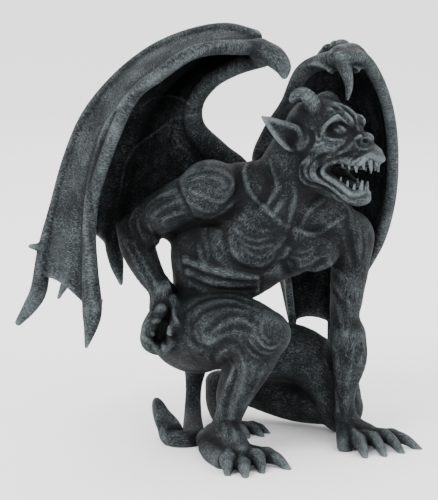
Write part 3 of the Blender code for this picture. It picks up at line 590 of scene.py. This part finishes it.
CHEEK_GULLIES = (
    ((338, 154.5), (327, 161), (319, 166), (318, 173), (325, 180.5), (336, 187), (347, 196), (354, 199)),
    ((332, 152), (322, 156), (313, 163), (308.5, 171), (310, 178)),
    ((350, 137), (345, 146), (338, 151)),
    ((356, 119), (355, 127), (353, 133)),
    ((333, 106), (341, 112.5), (348, 120)),
    ((340, 104), (349, 112), (355, 119)),
    ((307, 128), (312, 135), (311, 143), (306, 150)),
)
NECK_CORDS = (
    ((293.5, 183), (295.1, 194.4), (292.8, 204.7), (289.8, 216.2), (288.5, 226)),
    ((278, 176), (277, 188), (271.5, 198), (266, 206)),
    ((284, 199), (278, 207), (274, 212)),
    ((324, 199), (314, 205), (306, 214), (300.5, 226)),
    ((334, 194), (341, 202), (348, 210), (352, 221)),
    ((270, 160), (275, 175), (279, 188)),
)

draw(BROW_LINES, 0.5, 0.4, 0.3, True)
draw(FOREHEAD_LINES, 0.5, 0.35, 0.3, True)
draw(LID_LINES, 0.4, 0.35, 0.25, True)
draw(CHEEK_GULLIES, 0.6, -0.45, 0.4, True)
draw(CHEEK_LINES, 0.45, 0.4, 0.3, True)
draw(LIP_LINES, 0.6, 0.5, 0.3, True)
draw(MUZZLE_LINES, 0.4, 0.3, 0.25, True)
draw(NECK_CORDS, 0.8, 0.4, 0.5)

# Carving of the body that the photo shows: collar bones, chest, ribs, and the strands of the
# shoulder, arms, thigh and shin.
COLLAR_LINES = (
    ((246, 185), (250, 192), (257.3, 200.1), (267.6, 210.4), (279.1, 220.8), (287, 226.5)),
    ((297, 229), (307.8, 233.4), (318.1, 232.3), (330.7, 224.2), (342.2, 217.3)),
    ((262, 157), (249, 163), (244, 174), (247, 186)),
)
BODY_GULLIES = (
    ((231, 162), (238.5, 171), (241, 181), (238.5, 191), (231, 201), (221, 209.3)),
    ((177.5, 183), (180, 193), (185, 203), (190.7, 213)),
    ((193, 217), (204.4, 220.5), (217, 223), (225.5, 228)),
    ((224.5, 226), (225, 236.8), (226.4, 248.3), (231, 258.5), (240.5, 267), (252.7, 271.5), (264.1, 270),
     (273.3, 263), (279.1, 253)),
    ((290, 231), (290.5, 237), (285.5, 246), (280, 254.1), (279, 262)),
    ((283, 262), (286, 272), (292, 281), (300, 280.5), (308, 274), (317, 265), (325, 260.5)),
    ((345, 222), (349.6, 237.5), (351.2, 252.1), (356, 264)),
    ((256, 206), (262, 199), (266, 190), (267, 180)),
)
RIB_LINES = (
    ((204.4, 231), (206.7, 240.3), (208, 250)),
    ((199, 247), (202, 257), (207, 264)),
    ((214.2, 245), (216, 255), (222, 264), (230, 269)),
    ((209, 257), (214.5, 267), (223, 273.5), (235, 277), (249, 277)),
    ((203, 267), (210, 276), (220, 282), (234, 286), (250, 285)),
)
CHEST_LINES = (
    ((286, 247), (294, 251.5), (305, 251.5), (314, 247)),
    ((287, 254), (296, 258), (306, 257), (315, 252)),
    ((287, 261), (296, 266), (307, 263.5), (316, 257.5)),
    ((235, 228), (244, 236), (256, 240), (268, 238)),
    ((237, 236), (247, 245), (259, 248), (271, 244)),
    ((242, 246), (251, 254), (261, 257), (270, 253)),
    ((240, 218), (250, 226), (262, 230), (274, 229)),
)
SHOULDER_LINES = (
    ((207, 168), (221, 170), (231, 177), (233, 184.5), (227, 192), (216, 195)),
    ((196, 178), (209, 176), (221, 180), (225, 186), (218, 190)),
    ((190, 190), (203, 195), (216, 201), (225, 199)),
    ((188, 201), (200, 208), (212, 211), (222, 207)),
    ((357, 222), (360, 236), (360, 252), (357, 268)),
    ((364, 232), (366, 246), (363, 262)),
)
ARM_LINES = (
    ((178, 190), (167, 193), (156, 198), (147, 206)),
    ((182, 200), (172, 203), (161, 209), (151, 218)),
    ((187, 211), (176, 214), (164, 219)),
    ((139, 206), (133, 214), (131, 223), (134, 232)),
    ((141, 215), (139, 224), (142, 234), (150, 245)),
    ((150, 226), (157, 240), (161, 256), (167, 275), (170, 287)),
    ((135, 243), (142, 258), (151, 274), (159, 290)),
    ((126, 240), (134, 258), (143, 275), (151, 290)),
)
FIST_LINES = (
    ((156, 303), (149.5, 317), (143.5, 332), (145, 337.5), (152, 342.5), (159, 353)),
    ((152, 322), (158, 320.5), (166, 322), (170, 328), (169, 336)),
    ((173, 306), (176, 317), (181.5, 328)),
    ((152, 333), (158, 337), (163, 343), (165, 351)),
)
THIGH_GULLIES = (
    ((180, 316), (196.4, 303), (214.3, 296.6), (233.4, 296.6), (252.6, 304.2)),
    ((191.3, 324.6), (204.1, 310.6), (221.9, 304.2), (239.8, 305.5), (254, 313)),
    ((206.6, 331), (219.4, 318.3), (234.7, 313), (247.5, 316), (256, 323)),
    ((214.3, 336.1), (227, 328.5), (239.8, 326), (251, 329.7)),
    ((203, 355), (214, 347), (226, 340), (236, 338)),
    ((192, 338), (199, 345), (212, 349)),
)
KNEE_LINES = (
    ((256.4, 335), (262.8, 343.8), (270.4, 347.6), (278.1, 345)),
    ((251, 341), (260.5, 351), (271.7, 353)),
    ((246, 345), (253, 354), (262, 358)),
    ((264, 320), (261, 328), (263, 336), (268, 341)),
)
SHIN_LINES = (
    ((267, 362), (259, 378), (250, 397), (243, 412)),
    ((240, 352), (245, 368), (241, 388), (235, 405), (232, 420)),
    ((228, 356), (233, 364), (232, 374), (226, 386)),
    ((224, 424), (226.5, 431), (224, 440)),
    ((231, 425), (235, 433), (236, 441)),
    ((238, 424), (245, 431), (252, 437)),
)
CALF_GULLIES = (
    ((214.3, 362), (213.2, 355.3), (219.4, 347.6), (227, 343), (235, 343.5), (241, 350)),
    ((236, 372), (230, 388), (226, 402), (225, 414)),
)
LEFT_ARM_LINES = (
    ((329, 262), (335.8, 270), (343.1, 278)),
    ((329, 282), (334, 297), (339, 311), (341, 321)),
    ((334, 281), (341, 295), (348, 302), (351, 315)),
    ((341.5, 321.7), (344.7, 334.6), (349.5, 322)),
    ((332, 345), (337, 357), (337, 368)),
    ((327, 337), (324, 350), (328, 368), (334, 386), (338, 410)),
    ((354, 343), (351, 362), (347, 385), (346, 405)),
    ((361, 335), (363, 348), (360, 362)),
    ((350, 385), (348, 402), (345, 420)),
    ((346, 419), (352, 428), (360, 438), (366, 448)),
)
draw(BODY_GULLIES, 0.8, -0.4, 0.9)
draw(COLLAR_LINES, 0.6, 0.4, 0.6)
draw(RIB_LINES, 0.9, 0.15, 0.9)
draw(CHEST_LINES, 0.5, 0.1, 0.4)
draw(SHOULDER_LINES, 0.6, 0.15, 0.5)
draw(ARM_LINES, 0.6, 0.18, 0.5)
draw(FIST_LINES, 0.7, 0.5, 0.3)
draw(THIGH_GULLIES, 0.7, -0.3, 0.8)
draw(CALF_GULLIES, 0.9, -0.5, 0.8)
draw(KNEE_LINES, 0.55, 0.25, 0.4)
draw(SHIN_LINES, 0.65, 0.22, 0.6)
draw(LEFT_ARM_LINES, 0.6, 0.18, 0.5)

# Carving of the wings: the ridge that parts the outer band from the rim, and thin veins.
WING_RIDGES = (
    ((269.7, 56), (257.1, 48.7), (238.2, 42.4), (217.1, 44.5), (189.7, 57.1), (162.4, 74), (132.9, 92.9),
     (114, 114), (103.4, 132.9), (96, 158.2), (89.7, 183.4), (86.6, 208.7), (86.6, 234), (90.8, 267.6),
     (92.9, 292.9), (97.1, 309.7)),
)
WING_VEINS = (
    ((198.2, 114), (175, 118.2), (154, 132.9), (137.1, 145.5), (128.7, 158.2), (124.5, 170.8),
     (120.3, 193.9), (116, 215)),
    ((141, 109), (150, 99), (167, 95), (182, 98), (190, 104)),
)
draw(WING_RIDGES, 0.8, 0.45, 0.5)
draw(WING_VEINS, 0.45, 0.25, 0.3)

# Skin: the soles are ground flat, the surface is drawn from the clay and thinned to the number
# of triangles that the table takes. Each place keeps how proud, open and grained it is.
TRIANGLES = 196000


def placed(name, data):
    """New object of the scene."""
    made = bpy.data.objects.new(name, data)
    bpy.context.collection.objects.link(made)
    return made


def blurred(values, reach):
    """Mean over a cube of 2 * reach + 1 cells, one axis after the other."""
    for axis in range(3):
        sums = np.cumsum(np.pad(values, [(reach + 1, reach) if i == axis else (0, 0) for i in range(3)],
                                mode="edge"), axis=axis, dtype=np.float32)
        ahead = np.take(sums, range(2 * reach + 1, sums.shape[axis]), axis=axis)
        behind = np.take(sums, range(0, sums.shape[axis] - 2 * reach - 1), axis=axis)
        values = (ahead - behind) / (2 * reach + 1)
    return values


heights = CLAY_LOW[2] + CELL * np.arange(cell_counts[2], dtype=np.float32)
clay[:, :, :] = np.maximum(clay, FLOOR - heights)
grid = openvdb.FloatGrid(FAR)
grid.copyFromArray(clay, tolerance=0.0)
points, quads = grid.convertToQuads(isovalue=0.0)
points = points * CELL + CLAY_LOW
mesh = bpy.data.meshes.new("gargoyle_skin")
mesh.from_pydata([], [], [])
mesh.vertices.add(len(points))
mesh.vertices.foreach_set("co", points.astype(np.float32).ravel())
mesh.loops.add(quads.size)
mesh.loops.foreach_set("vertex_index", quads[:, ::-1].astype(np.int32).ravel())
mesh.polygons.add(len(quads))
mesh.polygons.foreach_set("loop_start", np.arange(0, quads.size, 4, dtype=np.int32))
mesh.update(calc_edges=True)
skin = placed("gargoyle", mesh)
thin = skin.modifiers.new("thin", "DECIMATE")
thin.ratio = TRIANGLES / (2 * len(quads))
thin.use_collapse_triangulate = True
mesh = bpy.data.meshes.new_from_object(skin.evaluated_get(bpy.context.evaluated_depsgraph_get()))
skin.modifiers.clear()
skin.data = mesh
print("skin", len(quads), "quads before,", len(mesh.polygons), "triangles after")

spots = np.empty(3 * len(mesh.vertices), np.float32)
mesh.vertices.foreach_get("co", spots)
spots = spots.reshape(-1, 3).astype(float)
SKY_WAYS = 36
SKY_REACHES = (1.0, 1.8, 3, 5, 8, 12)
GOLDEN_ANGLE = 2.39996


def openness(spots, faces):
    """Share of the sky above each place that the figure leaves open."""
    total, seen = np.zeros(len(spots)), np.zeros(len(spots))
    for index in range(SKY_WAYS):
        height = 1 - 2 * (index + 0.5) / SKY_WAYS
        angle = GOLDEN_ANGLE * index
        side = math.sqrt(1 - height * height)
        way = np.array((side * math.cos(angle), side * math.sin(angle), height))
        weight = np.maximum(faces @ way, 0)
        free = np.ones(len(spots), bool)
        for reach in SKY_REACHES:
            place = ((spots + 0.4 * faces + reach * way - CLAY_LOW) / CELL + 0.5).astype(int)
            inside = ((place >= 0) & (place < cell_counts)).all(1)
            place = np.clip(place, 0, cell_counts - 1)
            free &= ~(inside & (clay[place[:, 0], place[:, 1], place[:, 2]] < 0))
        total += weight
        seen += weight * free
    return seen / total


def grained(spots):
    """Places as the nearest limb counts them, drawn together along it, or across it on wings,
    and how sure it is which limb is the nearest."""
    best, second = np.full(len(spots), 99.0), np.full(len(spots), 99.0)
    result = np.zeros((len(spots), 3))
    for number, (run, is_limb) in enumerate(grain_runs):
        low, high = run[:, :3].min(0) - 12, run[:, :3].max(0) + 12
        near = np.nonzero(((spots > low) & (spots < high)).all(1))[0]
        length = 31.7 * number
        side = np.cross(run[1, :3] - run[0, :3], (0.31, 0.83, 0.47))
        least, counts = np.full(len(near), 99.0), np.zeros((len(near), 3))
        for a, b in zip(run, run[1:]):
            along = b[:3] - a[:3]
            size = max(np.linalg.norm(along), 1e-6)
            way = along / size
            side = side - (side @ way) * way
            side /= max(np.linalg.norm(side), 1e-6)
            other = np.cross(way, side)
            offset = spots[near] - a[:3]
            t = np.clip(offset @ way / size, 0, 1)
            offset = offset - (t * size)[:, None] * way
            gap = np.linalg.norm(offset, axis=1) - (a[3] + t * (b[3] - a[3]))
            closer = gap < least
            least[closer] = gap[closer]
            shares = (1, 1, 0.14) if is_limb else (0.16, 0.16, 1)
            own = np.stack((offset @ side, offset @ other, length + t * size), 1)
            counts[closer] = own[closer] * shares
            length += size
        nearer = least < best[near]
        second[near] = np.where(nearer, best[near], np.minimum(second[near], least))
        best[near[nearer]] = least[nearer]
        result[near[nearer]] = counts[nearer]
    return result, np.clip((second - best) / 0.7, 0, 1)


def keep(mesh, name, values):
    """Store a value of each place with its mesh."""
    kind = "FLOAT_VECTOR" if values.ndim == 2 else "FLOAT"
    store = mesh.attributes.new(name, kind, "POINT")
    store.data.foreach_set("vector" if values.ndim == 2 else "value", values.astype(np.float32).ravel())


faces = facing(spots, 0.3)
fine = feel(spots, blurred(np.clip(clay, -1.5, 1.5), 2))
broad = feel(spots, blurred(np.clip(clay, -4, 4), 7))
keep(mesh, "proud", np.clip(0.42 + 1.5 * fine + 0.3 * broad, 0, 1))
# How open each place is to the sky; it paints shade into recesses, on the bare resin and through the dry
# brush.
keep(mesh, "open_sky_painted_shade", openness(spots, faces))
grain, sure = grained(spots)
keep(mesh, "grain", grain)
keep(mesh, "grain_sure", sure)

# The skin is drawn to the solid's own size, from which it differs by under a hundredth
solid_low, solid_high = (np.array(tuple(corner)) for corner in bounds_before)
SKIN_LOW, SKIN_HIGH = spots.min(0), spots.max(0)


def in_frame(spots):
    """Places of the frame, in metres, for places in figure units."""
    return solid_low + (np.asarray(spots) - SKIN_LOW) * (solid_high - solid_low) / (SKIN_HIGH - SKIN_LOW)


mesh.vertices.foreach_set("co", in_frame(spots).astype(np.float32).ravel())
mesh.shade_smooth()
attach(skin, "root")
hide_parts("gargoyle")


# Finish: near-black charcoal resin with painted shade that darkens it further in recesses and creases,
# dry-brushed with blue grey where it stands proud, with hair-fine strokes that run along the muscles and
# across the wings.
def linear(code):
    """Colour of a hex code in linear light."""
    parts = [int(code[i:i + 2], 16) / 255 for i in (0, 2, 4)]
    return (*[p / 12.92 if p <= 0.04045 else ((p + 0.055) / 1.055) ** 2.4 for p in parts], 1)


def node(tree, kind, settings, links):
    """Add a node with its settings and inputs, each a value or another node's socket."""
    made = tree.nodes.new(kind)
    for name, value in settings.items():
        setattr(made, name, value)
    for name, value in links.items():
        if isinstance(value, bpy.types.NodeSocket):
            tree.links.new(value, made.inputs[name])
        else:
            made.inputs[name].default_value = value
    return made


# The darkest resin colour is painted shade for recesses and creases.
RESIN_IN_PAINTED_SHADE, RESIN_MIDDLE, BRUSHED = "070808", "0d1011", "697173"
# Widths in metres of a brush stroke, a brushed patch and a pore of the casting
STROKE, PATCH, PORE = UNIT / 8, 1 / 60, 1 / 900
# How much each look adds to the dry brush, to the bare resin's painted shade and to the relief
# The open-sky share of the dry brush paints shade too: the brush thins out where little sky is open.
SHARES = {"brush": (("proud", 1.8), ("strokes", 2.8), ("patches", 1.3), ("open_sky_painted_shade", 0.6), ("pores", 0.9)),
          "bare_with_painted_shade": (("open_sky_painted_shade", 0.7), ("proud", 0.9)),
          "relief": (("strokes", 1.0), ("pores", 0.25))}
resin = bpy.data.materials.new("dry_brushed_charcoal_resin")
resin.use_nodes = True
tree = resin.node_tree
shader = tree.nodes["Principled BSDF"]
looks = {}
for name, output in (("proud", "Fac"), ("open_sky_painted_shade", "Fac"), ("grain_sure", "Fac"), ("grain", "Vector")):
    looks[name] = node(tree, "ShaderNodeAttribute", {"attribute_name": name}, {}).outputs[output]
object_place = node(tree, "ShaderNodeTexCoord", {}, {}).outputs["Object"]
for name, place, width, detail, rough in (("strokes", looks["grain"], STROKE / UNIT, 4, 0.65),
                                          ("patches", object_place, PATCH, 4, 0.6),
                                          ("pores", object_place, PORE, 2, 0.5)):
    looks[name] = node(tree, "ShaderNodeTexNoise", {}, {"Vector": place, "Scale": 1 / width, "Detail": detail,
                                                        "Roughness": rough}).outputs["Fac"]
# The strokes fade out where two limbs meet
strokes = node(tree, "ShaderNodeMath", {"operation": "SUBTRACT"}, {0: looks["strokes"], 1: 0.5}).outputs[0]
looks["strokes"] = node(tree, "ShaderNodeMath", {"operation": "MULTIPLY_ADD"},
                        {0: strokes, 1: looks["grain_sure"], 2: 0.5}).outputs[0]
for name, shares in SHARES.items():
    total = 0
    for part, share in shares:
        total = node(tree, "ShaderNodeMath", {"operation": "MULTIPLY_ADD"},
                     {0: looks[part], 1: share, 2: total}).outputs[0]
    looks[name] = total
for name, low, high in (("brush", 3.65, 5.5), ("bare_with_painted_shade", 0.35, 1.15)):
    looks[name] = node(tree, "ShaderNodeMapRange", {"interpolation_type": "SMOOTHSTEP"},
                       {"Value": looks[name], "From Min": low, "From Max": high}).outputs["Result"]
# Painted shade: the bare resin is near black where little sky is open and in creases, and of its middle tone
# on open, proud places.
bare_with_painted_shade = node(tree, "ShaderNodeMix", {"data_type": "RGBA"},
            {0: looks["bare_with_painted_shade"], 6: linear(RESIN_IN_PAINTED_SHADE), 7: linear(RESIN_MIDDLE)}).outputs[2]
coat = node(tree, "ShaderNodeMix", {"data_type": "RGBA"},
            {0: looks["brush"], 6: bare_with_painted_shade, 7: linear(BRUSHED)}).outputs[2]
bump = node(tree, "ShaderNodeBump", {}, {"Height": looks["relief"], "Strength": 0.6, "Distance": 0.0012})
tree.links.new(coat, shader.inputs["Base Color"])
tree.links.new(bump.outputs["Normal"], shader.inputs["Normal"])
shader.inputs["Roughness"].default_value = 0.66
shader.inputs["Specular IOR Level"].default_value = 0.1
skin.data.materials.append(resin)

# Teeth: thick cones in both jaws, cast with the head. Each is put on a point of the gum that
# keeps which way it leans and how thick and long it is.
UPPER_TEETH = ((13.3, 0.6, -6.4, 0.5, 1.5), (12.5, 1.9, -6.3, 0.62, 2.7), (11.4, 2.9, -7.1, 0.5, 1.7),
               (10, 3.6, -7.7, 0.5, 1.8), (8.6, 4, -7.5, 0.45, 1.5), (7.2, 4.3, -7.3, 0.4, 1.3))
LOWER_TEETH = ((10.7, 0.5, -13.8, 0.4, 1.5), (10.2, 1.5, -13.8, 0.6, 2.7), (9.1, 2.6, -13.7, 0.45, 1.7),
               (7.9, 3.4, -13.1, 0.45, 1.7), (6.6, 4, -12.3, 0.4, 1.6))
TOOTH_SIDES = 12
TOOTH_POINT = 0.4
# Fixed shares for the teeth: proud for the dry brush, open sky for the painted shade, no grain.
TOOTH_LOOK = (("proud", 0.95), ("open_sky_painted_shade", 0.7), ("grain_sure", 0.0))
gum, leans, sizes = [], [], []
for row, way in ((UPPER_TEETH, -1), (LOWER_TEETH, 1)):
    for f, l, u, thick, length in row:
        for side in (-1, 1):
            gum.append(head_places([(f, l, u)], side)[0])
            leans.append(np.array((0.12, -0.1 * side, way)) @ HEAD_FRAME)
            sizes.append((thick, thick, length))
gum_mesh = bpy.data.meshes.new("gum")
gum_mesh.from_pydata([tuple(place) for place in in_frame(gum)], [], [])
for name, values in (("lean", leans), ("size", sizes)):
    keep(gum_mesh, name, np.array(values) * UNIT)
jaws = placed("gum", gum_mesh)
rows = bpy.data.node_groups.new("teeth_rows", "GeometryNodeTree")
rows.interface.new_socket("Geometry", in_out="INPUT", socket_type="NodeSocketGeometry")
sides_socket = rows.interface.new_socket("Sides", in_out="INPUT", socket_type="NodeSocketInt")
point_socket = rows.interface.new_socket("Point width", in_out="INPUT", socket_type="NodeSocketFloat")
finish_socket = rows.interface.new_socket("Finish", in_out="INPUT", socket_type="NodeSocketMaterial")
rows.interface.new_socket("Geometry", in_out="OUTPUT", socket_type="NodeSocketGeometry")
given = node(rows, "NodeGroupInput", {}, {}).outputs
cone = node(rows, "GeometryNodeMeshCone", {},
            {"Vertices": given["Sides"], "Side Segments": 4, "Radius Top": given["Point width"],
             "Radius Bottom": 1.0, "Depth": 1.0}).outputs["Mesh"]
lean = node(rows, "GeometryNodeInputNamedAttribute", {"data_type": "FLOAT_VECTOR"},
            {"Name": "lean"}).outputs["Attribute"]
size = node(rows, "GeometryNodeInputNamedAttribute", {"data_type": "FLOAT_VECTOR"},
            {"Name": "size"}).outputs["Attribute"]
turned = node(rows, "FunctionNodeAlignRotationToVector", {"axis": "Z"},
              {"Vector": lean}).outputs["Rotation"]
cones = node(rows, "GeometryNodeInstanceOnPoints", {},
             {"Points": given["Geometry"], "Instance": cone, "Rotation": turned,
              "Scale": size}).outputs["Instances"]
real = node(rows, "GeometryNodeRealizeInstances", {}, {"Geometry": cones}).outputs["Geometry"]
round_teeth = node(rows, "GeometryNodeSetShadeSmooth", {}, {"Geometry": real}).outputs["Geometry"]
dressed = node(rows, "GeometryNodeSetMaterial", {},
               {"Geometry": round_teeth, "Material": given["Finish"]}).outputs["Geometry"]
node(rows, "NodeGroupOutput", {}, {"Geometry": dressed})
growing = jaws.modifiers.new("teeth", "NODES")
growing.node_group = rows
growing[sides_socket.identifier] = TOOTH_SIDES
growing[point_socket.identifier] = TOOTH_POINT
growing[finish_socket.identifier] = resin
teeth_mesh = bpy.data.meshes.new_from_object(jaws.evaluated_get(bpy.context.evaluated_depsgraph_get()))
jaws.modifiers.clear()
bpy.data.objects.remove(jaws)
teeth_mesh.name = "gargoyle_teeth"
for name, value in TOOTH_LOOK:
    keep(teeth_mesh, name, np.full(len(teeth_mesh.vertices), value))
teeth = placed("gargoyle_teeth", teeth_mesh)
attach(teeth, "root")

# Stage: a pale studio floor, soft light from above, in front and the left, and the camera
# where the photo's camera stood.
floor_mesh = bpy.data.meshes.new("studio_floor")
floor_mesh.from_pydata([(-12, -12, 0), (12, -12, 0), (12, 12, 0), (-12, 12, 0)], [], [(0, 1, 2, 3)])
floor = placed("studio_floor", floor_mesh)
paper = bpy.data.materials.new("white_studio_paper")
paper.use_nodes = True
paper.node_tree.nodes["Principled BSDF"].inputs["Base Color"].default_value = linear("fafafa")
paper.node_tree.nodes["Principled BSDF"].inputs["Roughness"].default_value = 0.9
floor_mesh.materials.append(paper)

camera_data = bpy.data.cameras.new("photo_camera")
camera_data.sensor_width = 36
camera_data.lens = 162
camera = placed("photo_camera", camera_data)
camera.location = EYE * UNIT + FIGURE_SPOT
camera.rotation_euler = (math.radians(90) - CAMERA_TILT, 0, 0)
bpy.context.scene.camera = camera

# Name, place, size and power of each lamp; all look at the figure's middle
LAMPS = (("key", (-0.7, -0.9, 1.2), 0.7, 20), ("fill", (1.0, -0.8, 0.6), 0.9, 6),
         ("back", (0.2, 1.0, 1.0), 0.8, 6))
LAMP_AIM = Vector((0, 0, 0.12))
SKY_STRENGTH = 2.2
for name, place, size, energy in LAMPS:
    lamp = bpy.data.lights.new(name, "AREA")
    lamp.size = size
    lamp.energy = energy
    light = placed(name, lamp)
    light.location = place
    light.rotation_euler = (LAMP_AIM - Vector(place)).to_track_quat("-Z", "Y").to_euler()

world = bpy.data.worlds.new("studio")
world.use_nodes = True
world.node_tree.nodes["Background"].inputs["Color"].default_value = (1, 1, 1, 1)
world.node_tree.nodes["Background"].inputs["Strength"].default_value = SKY_STRENGTH
bpy.context.scene.world = world
